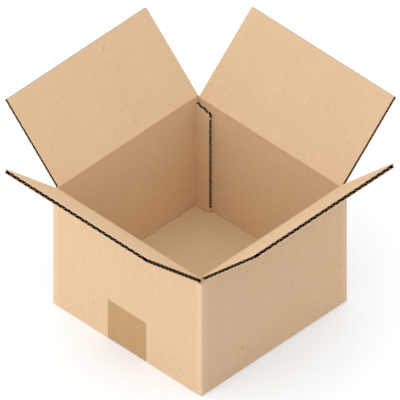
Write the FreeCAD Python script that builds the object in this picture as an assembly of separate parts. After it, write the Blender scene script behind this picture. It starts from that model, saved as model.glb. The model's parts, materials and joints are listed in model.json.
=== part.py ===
import FreeCAD, Part
import math
import os

# A square slotted box of single-wall corrugated board, standing open.
# One sheet is creased into four walls, joined by a glued tab inside the
# rear left corner. Its bottom flaps are folded shut and held by one strip
# of tape. Its four top flaps lean outwards. X runs left to right, Y front
# to rear, Z up, and the origin is on the floor under the middle of the box.
# The front and rear flaps are the inner pair, the left and right ones the
# outer pair. Lengths are in mm and angles in degrees.

# Room inside the closed box.
inside_width = 180.0
inside_length = 180.0
inside_depth = 120.0

# The board is two flat liners on a fluted medium.
board = 4.1
liner = 0.5
medium = 0.45
flute_pitch = 7.2
flute_crest = 0.7
flute_reach = 3.0
flute_margin = 1.2

# The upright corner folds and the folds under the box.
corner_radius = 1.7
bottom_fold_radius = 0.7
layer_gap = 0.2

# Each top crease is crushed to a thin bead that the flap turns about.
# A depth is measured from the outer face of the wall.
inner_pair_crease_depth = 0.45
outer_pair_crease_depth = 2.05
crease_bead_radius = 0.4
crease_gap = 0.3
taper_outside = 22.0
taper_inside = 42.0

# The top flaps as they stand open.
inner_pair_lean = 46.3
outer_pair_lean = 45.2
meeting_gap = 1.0
side_clearance = 0.3
slot_depth = 1.2
flap_corner_radius = 0.8

# The glued tab inside the rear left corner.
tab_width = 17.0
tab_slant = 4.0
tab_corner_radius = 1.5
tab_clearance = 0.4

# The tape that closes the bottom.
tape_width = 48.0
tape_leg = 45.0
tape_thickness = 0.2

# How near an edge must lie to a plane to be picked for rounding.
edge_tolerance = 0.01

# Sizes that follow from the ones above.
outer_width = inside_width + 2 * board
outer_length = inside_length + 2 * board
outer_fold_z = tape_thickness
inner_fold_z = outer_fold_z + board + layer_gap
floor_z = inner_fold_z + board
slot_side = board + side_clearance
inner_crease_z = floor_z + inside_depth + board - inner_pair_crease_depth
outer_crease_z = (inner_crease_z + inner_pair_crease_depth + crease_gap
                  + board - outer_pair_crease_depth)
slot_z = inner_crease_z - slot_depth

# One row per side: how far it is turned from the front, and its own sizes.
inner_pair = {
    "half": outer_length / 2,
    "span": outer_width,
    "depth": inner_pair_crease_depth,
    "crease_z": inner_crease_z,
    "fold_z": inner_fold_z,
    "side": slot_side,
    "lean": inner_pair_lean,
}
outer_pair = {
    "half": outer_width / 2,
    "span": outer_length,
    "depth": outer_pair_crease_depth,
    "crease_z": outer_crease_z,
    "fold_z": outer_fold_z,
    "side": slot_side,
    "lean": outer_pair_lean,
}
sides = {
    "front": (0, inner_pair),
    "right": (90, outer_pair),
    "rear": (180, inner_pair),
    "left": (270, outer_pair),
}


def point(x, y, z):
    return FreeCAD.Vector(x, y, z)


def polar(centre, radius, angle):
    # A point round a centre in the side view, from straight up towards inside.
    turn = math.radians(angle)
    return (centre[0] + radius * math.sin(turn), centre[1] + radius * math.cos(turn))


def side_face(steps, x):
    # A face in the side view, (inwards, up). A step is a corner, or an arc's
    # middle and end.
    edges = []
    start = point(x, *steps[0])
    here = start
    for step in steps[1:] + [steps[0]]:
        if len(step) == 4:
            middle = point(x, step[0], step[1])
            end = point(x, step[2], step[3])
            edges.append(Part.Arc(here, middle, end).toShape())
        else:
            end = point(x, *step)
            if here.distanceToPoint(end) < 1e-6:
                continue
            edges.append(Part.LineSegment(here, end).toShape())
        here = end
    return Part.Face(Part.Wire(edges))


def side_prism(steps, half_span):
    # The side view pulled along the wall, the same length each way.
    return side_face(steps, -half_span).extrude(point(2 * half_span, 0, 0))


def put_on_side(shape, name):
    # Moves a shape made at the front, outer face at Y zero, to its side.
    turn, pair = sides[name]
    shape.translate(point(0, -pair["half"], 0))
    shape.rotate(point(0, 0, 0), point(0, 0, 1), turn)
    return shape


def box_between(low, high):
    size = [b - a for a, b in zip(low, high)]
    return Part.makeBox(size[0], size[1], size[2], point(*low))


def taper_length(depth, angle):
    return depth / math.tan(math.radians(angle))


def wall_top(pair):
    # The top of a wall from its outer to its inner face, over the crease bead.
    pivot = (pair["depth"], pair["crease_z"])
    rest = board - pair["depth"]
    outer_shoulder = (0, pivot[1] - taper_length(pair["depth"], taper_outside))
    inner_shoulder = (board, pivot[1] - taper_length(rest, taper_inside))
    return [
        outer_shoulder,
        polar(pivot, crease_bead_radius, 180 + taper_outside),
        polar(pivot, crease_bead_radius, 0) + polar(pivot, crease_bead_radius, 180 - taper_inside),
        inner_shoulder,
    ]


def folded_side(name):
    # One wall with its bottom flap, in one bend.
    pair = sides[name][1]
    fold_z = pair["fold_z"]
    reach = pair["half"] - meeting_gap / 2
    radius = bottom_fold_radius
    bend_middle = polar((radius, fold_z + radius), radius, 225)
    steps = wall_top(pair) + [
        (board, fold_z + board),
        (reach, fold_z + board),
        (reach, fold_z),
        (radius, fold_z),
        bend_middle + (0, fold_z + radius),
    ]
    half_span = pair["span"] / 2
    if name in ("front", "rear"):
        # The flap lies between the walls beside it, which the wall runs into.
        folded = side_prism(steps, half_span - slot_side)
        upper = side_prism(wall_top(pair) + [(board, floor_z), (0, floor_z)], half_span)
        return put_on_side(folded.fuse(upper), name)
    return put_on_side(side_prism(steps, half_span), name)


def slot_cuts():
    # The slots that part the top flaps, just below the lower crease.
    cuts = []
    top = outer_crease_z + board
    for name in sides:
        pair = sides[name][1]
        for end in (-1, 1):
            corner = end * pair["span"] / 2
            inner = corner - end * pair["side"]
            low = (min(corner, inner), -board, slot_z)
            high = (max(corner, inner), board - side_clearance, top)
            cuts.append(put_on_side(box_between(low, high), name))
    return cuts


def outer_envelope():
    # The box from outside, with three rounded corners. The fourth is the joint.
    height = outer_crease_z + board
    low = (-outer_width / 2, -outer_length / 2, 0)
    block = box_between(low, (outer_width / 2, outer_length / 2, height))
    rounded = []
    for edge in block.Edges:
        middle = edge.BoundBox.Center
        upright = edge.BoundBox.ZLength > height / 2
        if upright and not (middle.x < 0 and middle.y > 0):
            rounded.append(edge)
    return block.makeFillet(corner_radius, rounded)


def joint_groove():
    # The left wall bends in behind the rear wall, whose cut end stays square.
    x = -outer_width / 2
    y = outer_length / 2 - board
    height = outer_crease_z + board
    square = box_between((x, y - corner_radius, 0), (x + corner_radius, y, height))
    centre = point(x + corner_radius, y - corner_radius, 0)
    return square.cut(Part.makeCylinder(corner_radius, height, centre))


def flute_pockets(start, run, across, inward, length):
    # Open flutes along a cut edge: trapezia, wide at one liner, then at the other.
    room = length - 2 * flute_margin
    halves = int(2 * room / flute_pitch) - 1
    first = (length - (halves - 1) * flute_pitch / 2) / 2
    rise = board - 2 * liner
    lean_run = flute_pitch / 2 - flute_crest
    slope = math.atan2(rise, lean_run)
    narrow = flute_crest / 2
    wide = flute_pitch / 2 - narrow - medium / math.sin(slope)
    pockets = []
    for count in range(halves):
        middle = start + run * (first + count * flute_pitch / 2)
        low, high = (wide, narrow) if count % 2 else (narrow, wide)
        under = middle + across * liner
        over = middle + across * (board - liner)
        corners = [under - run * low, under + run * low, over + run * high, over - run * high]
        mouth = Part.Face(Part.makePolygon(corners + corners[:1]))
        pockets.append(mouth.extrude(inward * flute_reach))
    return pockets


def glue_tab():
    # Glued to the rear wall: its foot stands on the floor, its top is slanted.
    left = -inside_width / 2
    right = left + tab_width
    rear = inside_length / 2
    foot = floor_z + tab_clearance
    top = floor_z + inside_depth - tab_clearance
    corners = [(left, foot), (right, foot), (right, top - tab_slant), (left, top)]
    outline = [point(x, rear - board, z) for x, z in corners]
    plate = Part.Face(Part.makePolygon(outline + outline[:1])).extrude(point(0, board, 0))
    soft = [edge for edge in plate.Edges
            if edge.BoundBox.YLength > board / 2 and edge.BoundBox.Center.x > right - edge_tolerance
            and edge.BoundBox.Center.z > foot + tab_slant]
    plate = plate.makeFillet(tab_corner_radius, soft)
    base = point(right, rear - board, foot)
    run = point(0, 0, 1)
    length = top - tab_slant - tab_corner_radius - foot
    pockets = flute_pockets(base, run, point(0, 1, 0), point(-1, 0, 0), length)
    return plate, pockets


def box_body():
    body = folded_side("front")
    for name in ("right", "rear", "left"):
        body = body.fuse(folded_side(name))
    body = body.common(outer_envelope())
    for cut in slot_cuts() + [joint_groove()]:
        body = body.cut(cut)
    plate, pockets = glue_tab()
    return body.fuse(plate).removeSplitter().cut(Part.makeCompound(pockets))


def flap_length(pair):
    # From the crease to the free edge, which meets the opposite flap's when shut.
    return pair["half"] - pair["depth"] - meeting_gap / 2


def upright_flap(pair):
    # A flap standing straight up on its crease, at the front.
    pivot = (pair["depth"], pair["crease_z"])
    rest = board - pair["depth"]
    start = crease_bead_radius + crease_gap
    top = pivot[1] + flap_length(pair)
    inner_shoulder = (board, pivot[1] + taper_length(rest, taper_inside))
    outer_shoulder = (0, pivot[1] + taper_length(pair["depth"], taper_outside))
    steps = [
        polar(pivot, start, taper_inside),
        inner_shoulder,
        (board, top),
        (0, top),
        outer_shoulder,
        polar(pivot, start, -taper_outside),
        polar(pivot, start, (taper_inside - taper_outside) / 2)
        + polar(pivot, start, taper_inside),
    ]
    half_span = pair["span"] / 2 - pair["side"]
    plate = side_prism(steps, half_span)
    corners = [edge for edge in plate.Edges
               if edge.BoundBox.YLength > board / 2 and edge.BoundBox.Center.z > top - edge_tolerance
               and edge.BoundBox.XLength < edge_tolerance]
    plate = plate.makeFillet(flap_corner_radius, corners)
    return plate.cut(Part.makeCompound(flap_flutes(half_span, top, inner_shoulder[1])))


def flap_flutes(half_span, top, taper_end):
    # Open flutes along the free edge and both side edges.
    across = point(0, 1, 0)
    up = point(0, 0, 1)
    along = point(1, 0, 0)
    pockets = flute_pockets(point(-half_span, 0, top), along, across, up * -1, 2 * half_span)
    length = top - flute_reach - flute_margin - taper_end
    for end in (-1, 1):
        start = point(end * half_span, 0, taper_end)
        pockets += flute_pockets(start, up, across, along * -end, length)
    return pockets


def top_flap(name):
    pair = sides[name][1]
    flap = upright_flap(pair)
    pivot = point(0, pair["depth"], pair["crease_z"])
    flap.rotate(pivot, point(1, 0, 0), pair["lean"])
    return put_on_side(flap, name)


def sealing_tape():
    # Under the seam of the outer flaps and up the front and rear walls.
    half = outer_length / 2
    far = half + tape_thickness
    bend = tape_thickness
    lift = math.sqrt(0.5) * bend
    steps = [
        (-half, tape_leg),
        (-half, bend),
        (half, bend),
        (half, tape_leg),
        (far, tape_leg),
        (far, bend),
        (half + lift, bend - lift, half, 0),
        (-half, 0),
        (-half - lift, bend - lift, -far, bend),
        (-far, tape_leg),
    ]
    return side_prism(steps, tape_width / 2)


def nodes():
    made = {"box_body": box_body(), "sealing_tape": sealing_tape()}
    for name in sides:
        made[name + "_flap"] = top_flap(name)
    return made


os.makedirs("parts", exist_ok=True)
for node, shape in nodes().items():
    solids = shape.Solids
    print(node, "solids", len(solids), "valid", shape.isValid(), "volume", round(shape.Volume, 1))
    solids[0].exportStep("parts/" + node + ".step")

for name, (turn, pair) in sides.items():
    radians = math.radians(turn)
    out = -pair["half"] + pair["depth"]
    place = (-out * math.sin(radians), out * math.cos(radians), pair["crease_z"])
    print(name, "crease", [round(value, 3) for value in place])
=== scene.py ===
import bpy
import bmesh
import json
import math
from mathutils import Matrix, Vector


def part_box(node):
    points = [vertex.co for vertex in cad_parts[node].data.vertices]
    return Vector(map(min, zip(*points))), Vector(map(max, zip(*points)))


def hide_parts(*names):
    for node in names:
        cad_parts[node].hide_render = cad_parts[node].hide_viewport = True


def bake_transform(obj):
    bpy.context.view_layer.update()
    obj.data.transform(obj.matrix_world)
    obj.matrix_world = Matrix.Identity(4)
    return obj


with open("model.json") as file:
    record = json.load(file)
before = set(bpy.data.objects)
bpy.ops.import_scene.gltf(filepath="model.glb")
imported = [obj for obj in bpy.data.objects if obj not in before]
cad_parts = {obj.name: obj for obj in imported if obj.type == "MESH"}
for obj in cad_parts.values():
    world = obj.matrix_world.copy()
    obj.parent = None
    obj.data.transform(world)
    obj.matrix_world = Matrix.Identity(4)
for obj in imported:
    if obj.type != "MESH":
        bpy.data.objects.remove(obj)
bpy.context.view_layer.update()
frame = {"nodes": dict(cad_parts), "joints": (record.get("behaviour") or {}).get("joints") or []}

# An open carton, with sizes in metres. The four top flaps are remade as two liners over open
# flutes, and bend at their creases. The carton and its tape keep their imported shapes.

board = {
    "thickness": 0.0041,
    "liner": 0.0006,
    "flutePitch": 0.0072,
    "mediumThickness": 0.0004,
}


# Node helpers

def newMaterial(name, specular, roughness=1.0):
    material = bpy.data.materials.new(name)
    material.use_nodes = True
    shader = material.node_tree.nodes["Principled BSDF"]
    shader.inputs["Specular IOR Level"].default_value = specular
    shader.inputs["Roughness"].default_value = roughness
    return material, material.node_tree, shader


def addNode(tree, kind, **settings):
    node = tree.nodes.new(kind)
    for name, value in settings.items():
        setattr(node, name, value)
    return node


def feed(tree, socket, value):
    # Joins a socket to another one, or gives it a plain value.
    if isinstance(value, bpy.types.NodeSocket):
        tree.links.new(value, socket)
    else:
        socket.default_value = value


def objectPlace(tree):
    return addNode(tree, "ShaderNodeTexCoord").outputs["Object"]


def axesOf(tree, vector):
    parts = addNode(tree, "ShaderNodeSeparateXYZ")
    tree.links.new(vector, parts.inputs[0])
    return parts.outputs[0], parts.outputs[1], parts.outputs[2]


def mathOf(tree, operation, first, second=0.0):
    node = addNode(tree, "ShaderNodeMath", operation=operation)
    feed(tree, node.inputs[0], first)
    feed(tree, node.inputs[1], second)
    return node.outputs[0]


def vectorOf(tree, operation, first, second=(0.0, 0.0, 0.0)):
    node = addNode(tree, "ShaderNodeVectorMath", operation=operation)
    feed(tree, node.inputs[0], first)
    feed(tree, node.inputs[1], second)
    return node.outputs[0]


def noiseOf(tree, coords, scale, detail=3.0, roughness=0.55, stretch=None):
    source = coords
    if stretch:
        mapping = addNode(tree, "ShaderNodeMapping")
        mapping.inputs["Scale"].default_value = stretch
        tree.links.new(coords, mapping.inputs["Vector"])
        source = mapping.outputs["Vector"]
    noise = addNode(tree, "ShaderNodeTexNoise")
    noise.inputs["Scale"].default_value = scale
    noise.inputs["Detail"].default_value = detail
    noise.inputs["Roughness"].default_value = roughness
    tree.links.new(source, noise.inputs["Vector"])
    return noise.outputs["Fac"]


def spanOf(tree, value, low, high, toLow, toHigh):
    span = addNode(tree, "ShaderNodeMapRange")
    span.inputs["From Min"].default_value = low
    span.inputs["From Max"].default_value = high
    span.inputs["To Min"].default_value = toLow
    span.inputs["To Max"].default_value = toHigh
    tree.links.new(value, span.inputs["Value"])
    return span.outputs["Result"]


def mixColour(tree, share, first, second, blend="MIX"):
    # Sockets 0, 6 and 7 of the node are its factor and its two colours.
    mix = addNode(tree, "ShaderNodeMix", data_type="RGBA", blend_type=blend)
    feed(tree, mix.inputs[0], share)
    for socket, colour in ((mix.inputs[6], first), (mix.inputs[7], second)):
        plain = not isinstance(colour, bpy.types.NodeSocket)
        feed(tree, socket, (*colour, 1.0) if plain else colour)
    return mix.outputs[2]


def insideBox(tree, coords, low, high):
    # One between two corners, nought elsewhere.
    middle = [(a + b) / 2 for a, b in zip(low, high)]
    half = [(b - a) / 2 for a, b in zip(low, high)]
    share = vectorOf(tree, "DIVIDE", vectorOf(tree, "SUBTRACT", coords, middle), half)
    x, y, z = axesOf(tree, vectorOf(tree, "ABSOLUTE", share))
    widest = mathOf(tree, "MAXIMUM", mathOf(tree, "MAXIMUM", x, y), z)
    return mathOf(tree, "LESS_THAN", widest, 1.0)


# Kraft paper

kraftLook = {
    "colour": (0.788, 0.562, 0.356),
    "deep": (0.700, 0.480, 0.288),
    "pale": (0.845, 0.625, 0.418),
    "fleck": (0.470, 0.300, 0.170),
    # Each noise: scale, detail, roughness and stretch.
    "clouds": (26.0, 4.0, 0.55, None),
    "blotches": (120.0, 5.0, 0.6, None),
    "fibres": (900.0, 3.0, 0.6, (0.35, 0.35, 1.0)),
    "flecks": (260.0, 2.0, 0.5, (0.6, 0.6, 1.0)),
    "specks": (430.0, 2.0, 0.5, (1.0, 1.0, 0.75)),
    # Each layer: its noise, where it fades in and is full, its strength and its colour.
    "layers": (
        ("clouds", 0.35, 0.70, 0.22, "deep"),
        ("blotches", 0.45, 0.75, 0.26, "pale"),
        ("fibres", 0.50, 0.75, 0.16, "deep"),
        ("specks", 0.55, 0.72, 0.36, "deep"),
        ("specks", 0.45, 0.28, 0.46, "pale"),
        ("flecks", 0.70, 0.78, 0.45, "fleck"),
    ),
    "specular": 0.22,
    "roughFrom": 0.84,
    "roughTo": 0.94,
    "patchFrom": 0.3,         # the blotches between which the roughness changes
    "patchTo": 0.7,
    "bump": 0.12,
    "bumpHeight": 0.0001,
}


def kraftPaper(name):
    # Unbleached liner: soft clouds, finer blotches, short level fibres, specks and sparse flecks.
    look = kraftLook
    material, tree, shader = newMaterial(name, look["specular"])
    coords = objectPlace(tree)
    noises = {kind: noiseOf(tree, coords, *look[kind])
              for kind in ("clouds", "blotches", "fibres", "flecks", "specks")}
    colour = look["colour"]
    for kind, low, high, strength, tone in look["layers"]:
        share = spanOf(tree, noises[kind], low, high, 0.0, strength)
        colour = mixColour(tree, share, colour, look[tone])
    tree.links.new(colour, shader.inputs["Base Color"])
    rough = spanOf(tree, noises["blotches"], look["patchFrom"], look["patchTo"],
                   look["roughFrom"], look["roughTo"])
    tree.links.new(rough, shader.inputs["Roughness"])
    bump = addNode(tree, "ShaderNodeBump")
    bump.inputs["Strength"].default_value = look["bump"]
    bump.inputs["Distance"].default_value = look["bumpHeight"]
    height = mathOf(tree, "ADD", noises["fibres"], noises["blotches"])
    tree.links.new(height, bump.inputs["Height"])
    tree.links.new(bump.outputs["Normal"], shader.inputs["Normal"])
    return material


# The fluted medium

fluteLook = {
    "cutEdge": (0.60, 0.43, 0.27),
    "cutEdgeDark": (0.34, 0.23, 0.13),
    "shade": (0.004, 0.003, 0.002),
    "shadeLight": (0.009, 0.006, 0.004),
    "edgeRoughness": 0.95,
    "edgeSpecular": 0.1,
    "grainScale": 700.0,
    "grainFrom": 0.35,
    "grainTo": 0.65,
}


def fluteEdge():
    # The torn, browner end of the medium at a cut edge.
    look = fluteLook
    material, tree, shader = newMaterial("fluteEdge", look["edgeSpecular"], look["edgeRoughness"])
    grain = noiseOf(tree, objectPlace(tree), look["grainScale"], 3.0, 0.6)
    share = spanOf(tree, grain, look["grainFrom"], look["grainTo"], 0.0, 1.0)
    colour = mixColour(tree, share, look["cutEdge"], look["cutEdgeDark"])
    tree.links.new(colour, shader.inputs["Base Color"])
    return material


def fluteShade():
    # Painted shade inside the flutes, where no light returns.
    look = fluteLook
    material, tree, shader = newMaterial("fluteShade", 0.0)
    grain = noiseOf(tree, objectPlace(tree), look["grainScale"], 2.0)
    colour = mixColour(tree, grain, look["shade"], look["shadeLight"])
    tree.links.new(colour, shader.inputs["Base Color"])
    return material


fluteShape = {
    "stepsPerFlute": 12.0,
    "unevenness": 0.0006,
    "strayScale": 160.0,
    "strayReach": 4.0,        # the noise stays near a half, so it is stretched
    "weldReach": 1e-6,
}


def fluteTree(material):
    # A wavy sheet: Width across the flutes, Depth along them.
    shape = fluteShape
    tree = bpy.data.node_groups.new("flutedMedium", "GeometryNodeTree")
    tree.interface.new_socket("Geometry", in_out="OUTPUT", socket_type="NodeSocketGeometry")
    for name in ("Width", "Depth", "Pitch", "Rise", "Thickness", "Unevenness", "Seed"):
        tree.interface.new_socket(name, in_out="INPUT", socket_type="NodeSocketFloat")
    given = addNode(tree, "NodeGroupInput").outputs
    result = addNode(tree, "NodeGroupOutput")

    count = mathOf(tree, "DIVIDE", given["Width"], given["Pitch"])
    steps = mathOf(tree, "ROUND", mathOf(tree, "MULTIPLY", count, shape["stepsPerFlute"]))
    grid = addNode(tree, "GeometryNodeMeshGrid")
    grid.inputs["Vertices Y"].default_value = 2
    tree.links.new(given["Width"], grid.inputs["Size X"])
    tree.links.new(given["Depth"], grid.inputs["Size Y"])
    tree.links.new(mathOf(tree, "ADD", steps, 1.0), grid.inputs["Vertices X"])

    # The noise reads only the place across the flutes, so each flute stays straight.
    across = axesOf(tree, addNode(tree, "GeometryNodeInputPosition").outputs[0])[0]
    line = addNode(tree, "ShaderNodeCombineXYZ")
    tree.links.new(across, line.inputs["X"])
    noise = addNode(tree, "ShaderNodeTexNoise", noise_dimensions="4D")
    noise.inputs["Scale"].default_value = shape["strayScale"]
    noise.inputs["Detail"].default_value = 1.0
    tree.links.new(line.outputs[0], noise.inputs["Vector"])
    tree.links.new(given["Seed"], noise.inputs["W"])
    centred = mathOf(tree, "SUBTRACT", noise.outputs["Fac"], 0.5)
    stray = mathOf(tree, "MULTIPLY", centred, given["Unevenness"])
    stray = mathOf(tree, "MULTIPLY", stray, shape["strayReach"])
    turns = mathOf(tree, "DIVIDE", mathOf(tree, "ADD", across, stray), given["Pitch"])
    wave = mathOf(tree, "SINE", mathOf(tree, "MULTIPLY", turns, 2 * math.pi))
    height = mathOf(tree, "MULTIPLY", mathOf(tree, "MULTIPLY", wave, given["Rise"]), 0.5)
    half = mathOf(tree, "MULTIPLY", given["Thickness"], -0.5)
    lift = addNode(tree, "ShaderNodeCombineXYZ")
    tree.links.new(mathOf(tree, "ADD", height, half), lift.inputs["Z"])
    waved = addNode(tree, "GeometryNodeSetPosition")
    tree.links.new(grid.outputs["Mesh"], waved.inputs["Geometry"])
    tree.links.new(lift.outputs[0], waved.inputs["Offset"])

    # The thickness, straight up, closed by the sheet's own underside.
    up = addNode(tree, "ShaderNodeCombineXYZ")
    tree.links.new(given["Thickness"], up.inputs["Z"])
    thick = addNode(tree, "GeometryNodeExtrudeMesh")
    thick.inputs["Individual"].default_value = False
    thick.inputs["Offset Scale"].default_value = 1.0
    tree.links.new(waved.outputs["Geometry"], thick.inputs["Mesh"])
    tree.links.new(up.outputs[0], thick.inputs["Offset"])
    under = addNode(tree, "GeometryNodeFlipFaces")
    tree.links.new(waved.outputs["Geometry"], under.inputs["Mesh"])
    both = addNode(tree, "GeometryNodeJoinGeometry")
    tree.links.new(thick.outputs["Mesh"], both.inputs["Geometry"])
    tree.links.new(under.outputs["Mesh"], both.inputs["Geometry"])
    closed = addNode(tree, "GeometryNodeMergeByDistance")
    closed.inputs["Distance"].default_value = shape["weldReach"]
    tree.links.new(both.outputs["Geometry"], closed.inputs["Geometry"])

    real = addNode(tree, "GeometryNodeRealizeInstances")
    tree.links.new(closed.outputs["Geometry"], real.inputs["Geometry"])
    painted = addNode(tree, "GeometryNodeSetMaterial")
    painted.inputs["Material"].default_value = material
    tree.links.new(real.outputs["Geometry"], painted.inputs["Geometry"])
    tree.links.new(painted.outputs["Geometry"], result.inputs["Geometry"])
    return tree


def flutedSheet(tree, **sizes):
    # Runs the tree on an empty mesh and hands back a plain one.
    carrier = bpy.data.objects.new("fluteCarrier", bpy.data.meshes.new("fluteCarrier"))
    bpy.context.scene.collection.objects.link(carrier)
    modifier = carrier.modifiers.new("flutes", "NODES")
    modifier.node_group = tree
    for item in tree.interface.items_tree:
        if item.in_out == "INPUT":
            modifier[item.identifier] = float(sizes[item.name])
    view = bpy.context.evaluated_depsgraph_get()
    mesh = bpy.data.meshes.new_from_object(carrier.evaluated_get(view))
    carrier.modifiers.remove(modifier)
    bpy.data.objects.remove(carrier)
    return mesh


print("paper and flutes")
edgeMaterial = fluteEdge()
shadeMaterial = fluteShade()
linerMaterial = kraftPaper("kraftFlap")
flutes = fluteTree(edgeMaterial)


# The four top flaps

crease = {
    "bendReach": 0.0005,      # the fold's own curve, each way
    "blendReach": 0.0012,     # the stretch between the rings that keep the wall and the flap flat, each way
    "coreEnd": 0.0019,        # where the flutes begin beyond the crushed middle
    "coreMargin": 0.0006,     # how far that middle goes on past the fold
    "taperOutside": math.radians(22),
    "taperInside": math.radians(42),
    "steps": 5,
}

flapBoard = {
    "sideFluteDepth": 0.0045,
    "edgeInset": 0.0002,      # how far the medium stays behind the liners' edges
    "curtainInset": 0.0008,   # and the walls painted in shade behind them
    "freeEdgeSeed": 3.0,
    "sideEdgeSeed": 11.0,
}

# A flap's material slots, in the order in which makeFlap fills them.
paperSlot = 0
cutEndSlot = 1
shadeSlot = 2


def flapSizes(joint):
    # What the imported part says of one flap, in the upright view of its own wall.
    node = joint["child"]
    low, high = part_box(node)
    bodyLow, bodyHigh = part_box("box_body")
    place = Vector(joint["pos_m"])
    axis = Vector(joint["axis"])
    outward = Vector((axis.y, -axis.x, 0.0))
    half = max(abs(outward.dot(bodyLow)), abs(outward.dot(bodyHigh)))
    depth = half - abs(outward.dot(place))
    lean = math.radians(-joint["range_deg"][0] - 90)
    rise = high[2] - place.z - (board["thickness"] - depth) * math.sin(lean)
    span = max(abs(axis.dot(low)), abs(axis.dot(high)))
    return {"node": node, "pivot": place, "axis": axis, "outward": outward, "depth": depth,
            "lean": lean, "length": rise / math.cos(lean), "halfSpan": span}


def onWall(sizes, x, w, height):
    # A point w in from the outer face, at a height over the crease.
    side = w - sizes["depth"]
    return sizes["pivot"] + sizes["axis"] * x - sizes["outward"] * side + Vector((0, 0, height))


def onFlap(sizes, x, w, run):
    # A point w in from the outer face, that far up the leaning flap.
    side = w - sizes["depth"]
    lean = sizes["lean"]
    inward = side * math.cos(lean) - run * math.sin(lean)
    up = side * math.sin(lean) + run * math.cos(lean)
    return sizes["pivot"] + sizes["axis"] * x - sizes["outward"] * inward + Vector((0, 0, up))


def foldPath(sizes, x, w, start, end):
    # Up the wall, round the crease, and along the flap, all at one depth in the board.
    # A ring at each end of the moving stretch keeps the wall and the flap flat beyond it.
    meet = (w - sizes["depth"]) * math.tan(sizes["lean"] / 2)
    reach = crease["bendReach"]
    moving = crease["blendReach"] / math.cos(sizes["lean"] / 2)
    low = onWall(sizes, x, w, meet - reach)
    middle = onWall(sizes, x, w, meet)
    high = onFlap(sizes, x, w, reach - meet)
    wallEdge = max(meet - moving, (start + meet - reach) / 2)
    flapEdge = min(moving - meet, (end + reach - meet) / 2)
    path = [onWall(sizes, x, w, start), onWall(sizes, x, w, wallEdge)]
    for step in range(crease["steps"] + 1):
        t = step / crease["steps"]
        path.append(low * (1 - t) ** 2 + middle * (2 * t * (1 - t)) + high * t ** 2)
    path.append(onFlap(sizes, x, w, flapEdge))
    path.append(onFlap(sizes, x, w, end))
    return path


def addStrip(mesh, sizes, halfSpan, layers, reach, slots):
    # A closed strip of board between two depths. slots: outer, inner and rim materials.
    outerFace, innerFace, rim = slots
    low, high = layers
    corners = ((-halfSpan, low), (halfSpan, low), (halfSpan, high), (-halfSpan, high))
    paths = [foldPath(sizes, x, w, *reach) for x, w in corners]
    rings = [[mesh.verts.new(place) for place in ring] for ring in zip(*paths)]
    painted = (outerFace, rim, innerFace, rim)
    for before, after in zip(rings, rings[1:]):
        for side in range(4):
            following = (side + 1) % 4
            face = mesh.faces.new((before[side], before[following], after[following], after[side]))
            face.material_index = painted[side]
    for ring in (list(reversed(rings[0])), rings[-1]):
        mesh.faces.new(ring).material_index = rim


def addFlutes(mesh, sheet, placing):
    # Puts a fluted sheet into the flap. Its cut ends, which face along the flutes, are pale, and the rest is
    # painted in shade.
    verts = [mesh.verts.new(placing(vertex.co)) for vertex in sheet.vertices]
    for polygon in sheet.polygons:
        face = mesh.faces.new([verts[index] for index in polygon.vertices])
        isCutEnd = abs(polygon.normal.y) > 0.9
        face.material_index = cutEndSlot if isCutEnd else shadeSlot
    bpy.data.meshes.remove(sheet)


def addShadeCurtains(mesh, sizes, start):
    # Sheets painted in shade deep in the flutes, so that no light shows through the board's corners.
    layers = (board["liner"], board["thickness"] - board["liner"])
    thin = flapBoard["edgeInset"]
    inner = sizes["halfSpan"] - flapBoard["sideFluteDepth"]
    outer = sizes["halfSpan"] - flapBoard["curtainInset"]
    end = sizes["length"] - flapBoard["curtainInset"]
    for side in (-1, 1):
        lengthways = (inner - thin, inner, start, end)
        crossways = (inner, outer, end - thin, end)
        for x0, x1, s0, s1 in (lengthways, crossways):
            outline = ((x0, s0), (x1, s0), (x1, s1), (x0, s1))
            low, high = [[mesh.verts.new(onFlap(sizes, side * x, w, s)) for x, s in outline] for w in layers]
            faces = [low, high] + [[low[k], low[(k + 1) % 4], high[(k + 1) % 4], high[k]] for k in range(4)]
            for face in faces:
                mesh.faces.new(face).material_index = shadeSlot


def addLiners(mesh, sizes):
    # The two liners, and the crushed middle of the board, which closes the ends of the crease. The liners'
    # faces toward the flutes and the whole crushed middle are painted in shade.
    t = board["thickness"]
    liner = board["liner"]
    depth = sizes["depth"]
    length = sizes["length"]
    span = sizes["halfSpan"]
    outerStart = -depth / math.tan(crease["taperOutside"])
    innerStart = -(t - depth) / math.tan(crease["taperInside"])
    addStrip(mesh, sizes, span, (0.0, liner), (outerStart, length), (paperSlot, shadeSlot, paperSlot))
    addStrip(mesh, sizes, span, (t - liner, t), (innerStart, length), (shadeSlot, paperSlot, paperSlot))
    foldEnd = (depth - liner) * math.tan(sizes["lean"] / 2) + crease["coreMargin"]
    coreReach = (max(outerStart, innerStart), max(foldEnd, crease["coreEnd"]))
    coreSpan = span - flapBoard["curtainInset"]
    addStrip(mesh, sizes, coreSpan, (liner, t - liner), coreReach, (shadeSlot, shadeSlot, shadeSlot))


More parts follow.
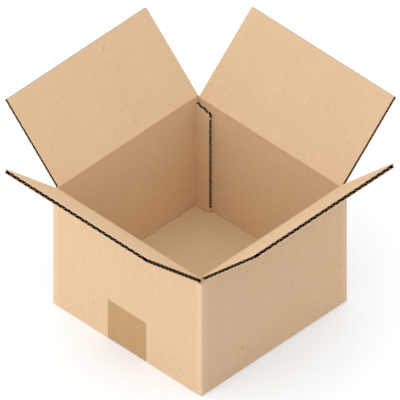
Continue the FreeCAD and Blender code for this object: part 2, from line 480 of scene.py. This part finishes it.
def addMedium(mesh, sizes):
    # The flutes that run out to the free edge, and the short open ones along each side edge.
    middle = board["thickness"] / 2
    rise = board["thickness"] - 2 * board["liner"] - board["mediumThickness"]
    common = {"Pitch": board["flutePitch"], "Rise": rise, "Thickness": board["mediumThickness"],
              "Unevenness": fluteShape["unevenness"]}
    inset = flapBoard["edgeInset"]
    sideDepth = flapBoard["sideFluteDepth"]
    start = crease["coreEnd"]
    run = sizes["length"] - inset - start
    width = 2 * (sizes["halfSpan"] - sideDepth)
    sheet = flutedSheet(flutes, Width=width, Depth=run, Seed=flapBoard["freeEdgeSeed"], **common)
    addFlutes(mesh, sheet, lambda co: onFlap(sizes, co.x, middle + co.z, start + run / 2 + co.y))
    addShadeCurtains(mesh, sizes, start)
    sideRun = run - inset
    sidePlace = sizes["halfSpan"] - sideDepth / 2
    for side in (-1, 1):
        sheet = flutedSheet(flutes, Width=sideRun, Depth=sideDepth - 2 * inset,
                            Seed=flapBoard["sideEdgeSeed"] + side, **common)
        addFlutes(mesh, sheet, lambda co: onFlap(
            sizes, side * sidePlace + co.y, middle + co.z, start + sideRun / 2 + co.x))


def makeFlap(joint):
    sizes = flapSizes(joint)
    mesh = bmesh.new()
    addLiners(mesh, sizes)
    addMedium(mesh, sizes)
    bmesh.ops.recalc_face_normals(mesh, faces=mesh.faces)
    name = sizes["node"].replace("_flap", "FlapBoard")
    data = bpy.data.meshes.new(name)
    mesh.to_mesh(data)
    mesh.free()
    for material in (linerMaterial, edgeMaterial, shadeMaterial):
        data.materials.append(material)
    flap = bpy.data.objects.new(name, data)
    bpy.context.scene.collection.objects.link(flap)
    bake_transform(flap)
    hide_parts(sizes["node"])
    length = round(sizes["length"] * 1000, 2)
    lean = round(math.degrees(sizes["lean"]), 1)
    print("flap", name, "is", length, "mm long and leans", lean, "degrees")


for joint in frame["joints"]:
    makeFlap(joint)


# The carton

cartonLook = {
    "cornerPale": (0.865, 0.645, 0.440),
    "cornerFar": 0.009,       # where the paler band, painted highlight and rubbed paper, fades in, from the outside
    "cornerNear": 0.002,      # and where it is palest
    "cornerShare": 0.7,
    "outerSkin": 0.001,
    # A painted tint inside the box, lighter and less brown, standing in for the light there.
    "insideLightTint": (0.99, 1.05, 1.085),
    "roomBottom": 0.006,
    "roomTop": 1.0,
    "foldPaintedLight": (0.960, 0.715, 0.465),
    "foldRise": 0.0006,
    "foldBand": 0.0005,
    "foldSkin": 0.0012,
    "gapShare": 0.7,          # half the medium's drawn width, in its thicknesses
}

tab = {
    "width": 0.017,
    "slant": 0.004,           # the drop of its top from the corner to the free edge
    "corner": 0.0015,         # the radius between its top and its free edge
    "clearance": 0.0004,
    "liner": 0.0005,
    "fluteReach": 0.003,
    "fluteMargin": 0.0012,    # plain paper between the top's corner and the open flutes
    "topSkin": 0.0004,
    "kneeReach": 0.001575,
    "rim": 0.00008,           # how far a painted stretch reaches past the surface
}


def tabPlaces():
    # The open flutes of the tab's free edge, and the strip of its slanted top, where shade is painted.
    bodyLow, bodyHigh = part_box("box_body")
    t = board["thickness"]
    rim = tab["rim"]
    left = bodyLow[0] + t
    right = left + tab["width"]
    rear = bodyHigh[1] - t
    hinge = next(joint["pos_m"] for joint in frame["joints"] if joint["child"] == "rear_flap")
    top = hinge[2] + (bodyHigh[1] - abs(hinge[1])) - t - tab["clearance"]
    slantFoot = top - tab["slant"] - tab["corner"]
    lowY = rear - t + tab["liner"] - rim
    highY = rear - tab["liner"] + rim
    kneeFoot = slantFoot - rim - tab["fluteMargin"] - tab["corner"]
    flutes = ((right - tab["fluteReach"] - rim, lowY, bodyLow[2]), (right - rim, highY, kneeFoot))
    slope = tab["slant"] / tab["width"]
    strip = {
        "low": (left + rim, lowY, slantFoot),
        "high": (right - tab["corner"], highY, top + rim),
        "kneeLow": (right - tab["kneeReach"], lowY, kneeFoot),
        "kneeHigh": (right + rim, highY, top + rim),
        "slope": slope,
        "level": top + left * slope - tab["topSkin"],
    }
    return flutes, strip


def cornerHighlightAndWear(tree, across, along, outside):
    # How pale the outer faces are near the upright folds: a painted highlight on the rounded corners, and
    # rubbed paper.
    look = cartonLook
    nearest = mathOf(tree, "MINIMUM", across, along)
    widest = mathOf(tree, "MAXIMUM", across, along)
    far = outside - look["cornerFar"]
    near = outside - look["cornerNear"]
    nearCorner = spanOf(tree, nearest, far, near, 0.0, look["cornerShare"])
    onOutside = mathOf(tree, "GREATER_THAN", widest, outside - look["outerSkin"])
    return mathOf(tree, "MULTIPLY", nearCorner, onOutside)


def foldCreviceLight(tree, along, up, outside, foldHeight):
    # Painted light along the fold under the front and rear walls, which pales the shade in the crevice
    # there.
    look = cartonLook
    fromFold = mathOf(tree, "ABSOLUTE", mathOf(tree, "SUBTRACT", up, foldHeight))
    nearFold = spanOf(tree, fromFold, look["foldBand"], 2 * look["foldBand"], 1.0, 0.0)
    frontOrRear = mathOf(tree, "GREATER_THAN", along, outside - look["foldSkin"])
    return mathOf(tree, "MULTIPLY", nearFold, frontOrRear)


def openTabTopShade(tree, coords, strip):
    # The slanted top of the tab: painted shade in the gap each side of the wavy medium.
    x, y, z = axesOf(tree, coords)
    low = strip["low"][1]
    high = strip["high"][1]
    wave = mathOf(tree, "SINE", mathOf(tree, "MULTIPLY", x, 2 * math.pi / board["flutePitch"]))
    rise = (high - low - board["mediumThickness"]) / 2
    fromMiddle = mathOf(tree, "SUBTRACT", y, (low + high) / 2)
    offset = mathOf(tree, "SUBTRACT", fromMiddle, mathOf(tree, "MULTIPLY", wave, rise))
    half = board["mediumThickness"] * cartonLook["gapShare"]
    gap = mathOf(tree, "GREATER_THAN", mathOf(tree, "ABSOLUTE", offset), half)
    slope = mathOf(tree, "ADD", z, mathOf(tree, "MULTIPLY", x, strip["slope"]))
    onTop = mathOf(tree, "GREATER_THAN", slope, strip["level"])
    onTop = mathOf(tree, "MULTIPLY", onTop, insideBox(tree, coords, strip["low"], strip["high"]))
    onKnee = insideBox(tree, coords, strip["kneeLow"], strip["kneeHigh"])
    return mathOf(tree, "MULTIPLY", gap, mathOf(tree, "MAXIMUM", onTop, onKnee))


def cartonPaper():
    # Kraft paper, paler near the upright corners with a painted highlight and rubbed paper, given a painted
    # tint inside the box that makes it a little lighter and less brown in place of the light there, painted
    # lighter along the bottom fold over the shade of its crevice, and painted in shade in the open flutes of
    # the glued tab.
    look = cartonLook
    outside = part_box("box_body")[1][0]
    innerFace = outside - board["thickness"] / 2
    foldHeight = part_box("sealing_tape")[0][2] + board["thickness"] + look["foldRise"]
    tabFlutes, tabStrip = tabPlaces()

    material = kraftPaper("kraftCarton")
    tree = material.node_tree
    shader = tree.nodes["Principled BSDF"]
    colour = shader.inputs["Base Color"].links[0].from_socket
    coords = objectPlace(tree)
    x, y, z = axesOf(tree, coords)
    across = mathOf(tree, "ABSOLUTE", x)
    along = mathOf(tree, "ABSOLUTE", y)
    colour = mixColour(tree, cornerHighlightAndWear(tree, across, along, outside), colour, look["cornerPale"])
    # Painted light: inside the box the colour is made a little lighter and less brown.
    room = insideBox(tree, coords, (-innerFace, -innerFace, look["roomBottom"]),
                     (innerFace, innerFace, look["roomTop"]))
    colour = mixColour(tree, room, colour, look["insideLightTint"], "MULTIPLY")
    # Painted light along the bottom fold, over the shade of its crevice.
    fold = foldCreviceLight(tree, along, z, outside, foldHeight)
    colour = mixColour(tree, fold, colour, look["foldPaintedLight"])
    # Painted shade in the open flutes of the tab and in the gaps of its slanted top.
    dark = mathOf(tree, "MAXIMUM", insideBox(tree, coords, *tabFlutes), openTabTopShade(tree, coords, tabStrip))
    colour = mixColour(tree, dark, colour, fluteLook["shade"])
    tree.links.new(colour, shader.inputs["Base Color"])
    return material


# The tape

tapeLook = {
    "colour": (0.532, 0.328, 0.147),
    "deep": (0.468, 0.282, 0.121),
    "streakScale": 260.0,
    "streakStretch": (1.0, 0.04, 0.04),
    "cloudScale": 40.0,
    "markFrom": 0.15,         # the product of both noises at which the deep tone fades in
    "markTo": 0.4,            # and is full
    "markShare": 0.5,
    "specular": 0.4,
    "roughFrom": 0.38,
    "roughTo": 0.5,
    "patchFrom": 0.3,
    "patchTo": 0.7,
}


def tapePaper():
    # Smooth brown tape with faint lengthwise streaks.
    look = tapeLook
    material, tree, shader = newMaterial("brownTape", look["specular"])
    coords = objectPlace(tree)
    streaks = noiseOf(tree, coords, look["streakScale"], 3.0, 0.5, look["streakStretch"])
    clouds = noiseOf(tree, coords, look["cloudScale"], 3.0)
    both = mathOf(tree, "MULTIPLY", streaks, clouds)
    marks = spanOf(tree, both, look["markFrom"], look["markTo"], 0.0, look["markShare"])
    colour = mixColour(tree, marks, look["colour"], look["deep"])
    tree.links.new(colour, shader.inputs["Base Color"])
    rough = spanOf(tree, clouds, look["patchFrom"], look["patchTo"], look["roughFrom"], look["roughTo"])
    tree.links.new(rough, shader.inputs["Roughness"])
    return material


def paintNode(node, material):
    holder = frame["nodes"][node]
    if not holder.material_slots:
        holder.data.materials.append(material)
    for slot in holder.material_slots:
        slot.material = material


print("carton and tape")
paintNode("box_body", cartonPaper())
paintNode("sealing_tape", tapePaper())


# Floor, light and camera

studio = {
    "floorSize": 6.0,
    "floorLevel": -0.0002,
    "floorColour": (0.62, 0.62, 0.62),
    "floorSeen": (0.95, 0.95, 0.95),
    "floorGlow": (0.11, 0.165, 0.21),
    "skyLow": 0.60,
    "skyHigh": 1.25,
    "skyLean": -0.15,
    "keyPower": 5.2,
    "keySize": (1.2, 0.12),
    "keyPlace": (-0.35, -1.30, 0.07),
    "keyAim": (0.0, 0.0, 0.07),
    "highPower": 1.0,
    "highSize": (0.9, 0.5),
    "highPlace": (-0.10, -1.15, 0.95),
    "highAim": (0.0, 0.0, 0.10),
    "fillPower": 0.85,
    "fillSize": (0.5, 0.3),
    "fillPlace": (0.72, 0.62, 0.14),
    "fillAim": (0.094, 0.05, 0.06),
}


def seenDirectly(tree):
    # One for what the camera sees straight, in a gloss or through something clear.
    rays = addNode(tree, "ShaderNodeLightPath")
    seen = mathOf(tree, "MAXIMUM", rays.outputs["Is Camera Ray"], rays.outputs["Is Glossy Ray"])
    return mathOf(tree, "MAXIMUM", seen, rays.outputs["Is Transmission Ray"])


def makeFloor():
    # White to the eye, and greyer to the light that it throws back onto the box.
    half = studio["floorSize"] / 2
    corners = [(x * half, y * half, studio["floorLevel"]) for x, y in ((-1, -1), (1, -1), (1, 1), (-1, 1))]
    data = bpy.data.meshes.new("studioFloor")
    data.from_pydata(corners, [], [(0, 1, 2, 3)])
    floor = bpy.data.objects.new("studioFloor", data)
    bpy.context.scene.collection.objects.link(floor)
    material, tree, shader = newMaterial("studioFloor", 0.0)
    seen = seenDirectly(tree)
    colour = mixColour(tree, seen, studio["floorColour"], studio["floorSeen"])
    tree.links.new(colour, shader.inputs["Base Color"])
    shader.inputs["Emission Color"].default_value = (*studio["floorGlow"], 1.0)
    tree.links.new(seen, shader.inputs["Emission Strength"])
    data.materials.append(material)


def makeSky():
    # Stronger overhead and a little stronger on the left, and plain white behind the box.
    world = bpy.data.worlds.new("studioSky")
    bpy.context.scene.world = world
    world.use_nodes = True
    tree = world.node_tree
    background = tree.nodes["Background"]
    x, _, z = axesOf(tree, addNode(tree, "ShaderNodeTexCoord").outputs["Generated"])
    sky = spanOf(tree, z, 0.0, 1.0, studio["skyLow"], studio["skyHigh"])
    lean = mathOf(tree, "ADD", mathOf(tree, "MULTIPLY", x, studio["skyLean"]), 1.0)
    sky = mathOf(tree, "MULTIPLY", sky, lean)
    seen = seenDirectly(tree)
    hidden = mathOf(tree, "SUBTRACT", 1.0, seen)
    strength = mathOf(tree, "ADD", mathOf(tree, "MULTIPLY", sky, hidden), seen)
    tree.links.new(strength, background.inputs["Strength"])
    background.inputs["Color"].default_value = (1.0, 1.0, 1.0, 1.0)


def makeLamp(name):
    # A soft rectangular lamp, such as "key" or "fill", from its values in studio.
    lamp = bpy.data.lights.new(name + "Light", "AREA")
    lamp.shape = "RECTANGLE"
    lamp.size, lamp.size_y = studio[name + "Size"]
    lamp.energy = studio[name + "Power"]
    holder = bpy.data.objects.new(name + "Light", lamp)
    holder.location = studio[name + "Place"]
    aim = Vector(studio[name + "Aim"]) - Vector(studio[name + "Place"])
    holder.rotation_euler = aim.to_track_quat("-Z", "Y").to_euler()
    bpy.context.scene.collection.objects.link(holder)


viewpoint = {
    "azimuth": 44.4,
    "elevation": 40.25,
    "frameWidth": 0.3606,
    "target": (0.0, 0.0, 0.1195),
    "distance": 1.6,
}


def makeCamera():
    azimuth = math.radians(viewpoint["azimuth"])
    elevation = math.radians(viewpoint["elevation"])
    back = Vector((math.sin(azimuth) * math.cos(elevation), -math.cos(azimuth) * math.cos(elevation),
                   math.sin(elevation)))
    lens = bpy.data.cameras.new("photoCamera")
    lens.type = "ORTHO"
    lens.ortho_scale = viewpoint["frameWidth"]
    camera = bpy.data.objects.new("photoCamera", lens)
    camera.location = Vector(viewpoint["target"]) + back * viewpoint["distance"]
    camera.rotation_euler = (-back).to_track_quat("-Z", "Y").to_euler()
    bpy.context.scene.collection.objects.link(camera)
    bpy.context.scene.camera = camera


print("studio")
makeFloor()
makeSky()
for name in ("key", "high", "fill"):
    makeLamp(name)
makeCamera()
bpy.context.scene.view_settings.view_transform = "Standard"
